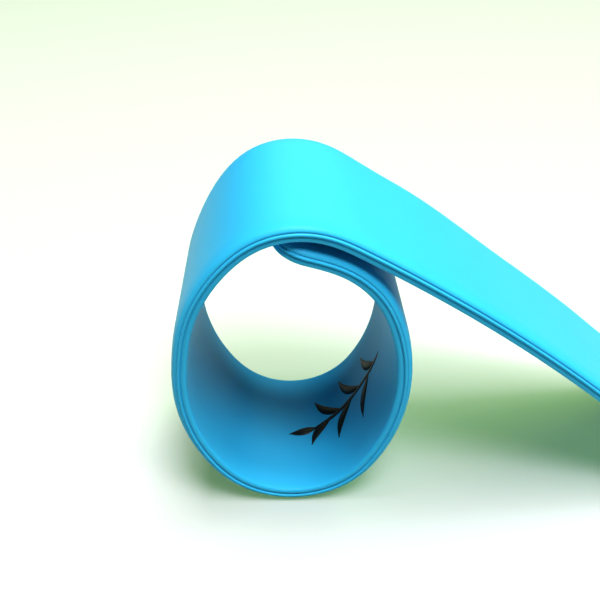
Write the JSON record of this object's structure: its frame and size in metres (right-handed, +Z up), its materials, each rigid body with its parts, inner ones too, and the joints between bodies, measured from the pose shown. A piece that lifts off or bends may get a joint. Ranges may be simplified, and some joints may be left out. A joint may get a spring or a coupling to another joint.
{
  "type": "slap bracelet",
  "caption": "Silicone slap bracelet curled into an open wrist loop, with its free end as a straight tail sloping down to the surface.",
  "frame": {"origin": "on the surface that the bracelet stands on, under the middle of its box", "axes": "+Z up; +X along the bracelet's length, from the wrist loop towards the tip of the tail; +Y across the band's width, away from the viewer"},
  "size_m": [0.0932, 0.03, 0.0543],
  "materials": {
    "silicone": "smooth matte-satin moulded silicone, sky blue"
  },
  "bodies": {
    "root": {"band": "silicone"}
  },
  "joints": []
}
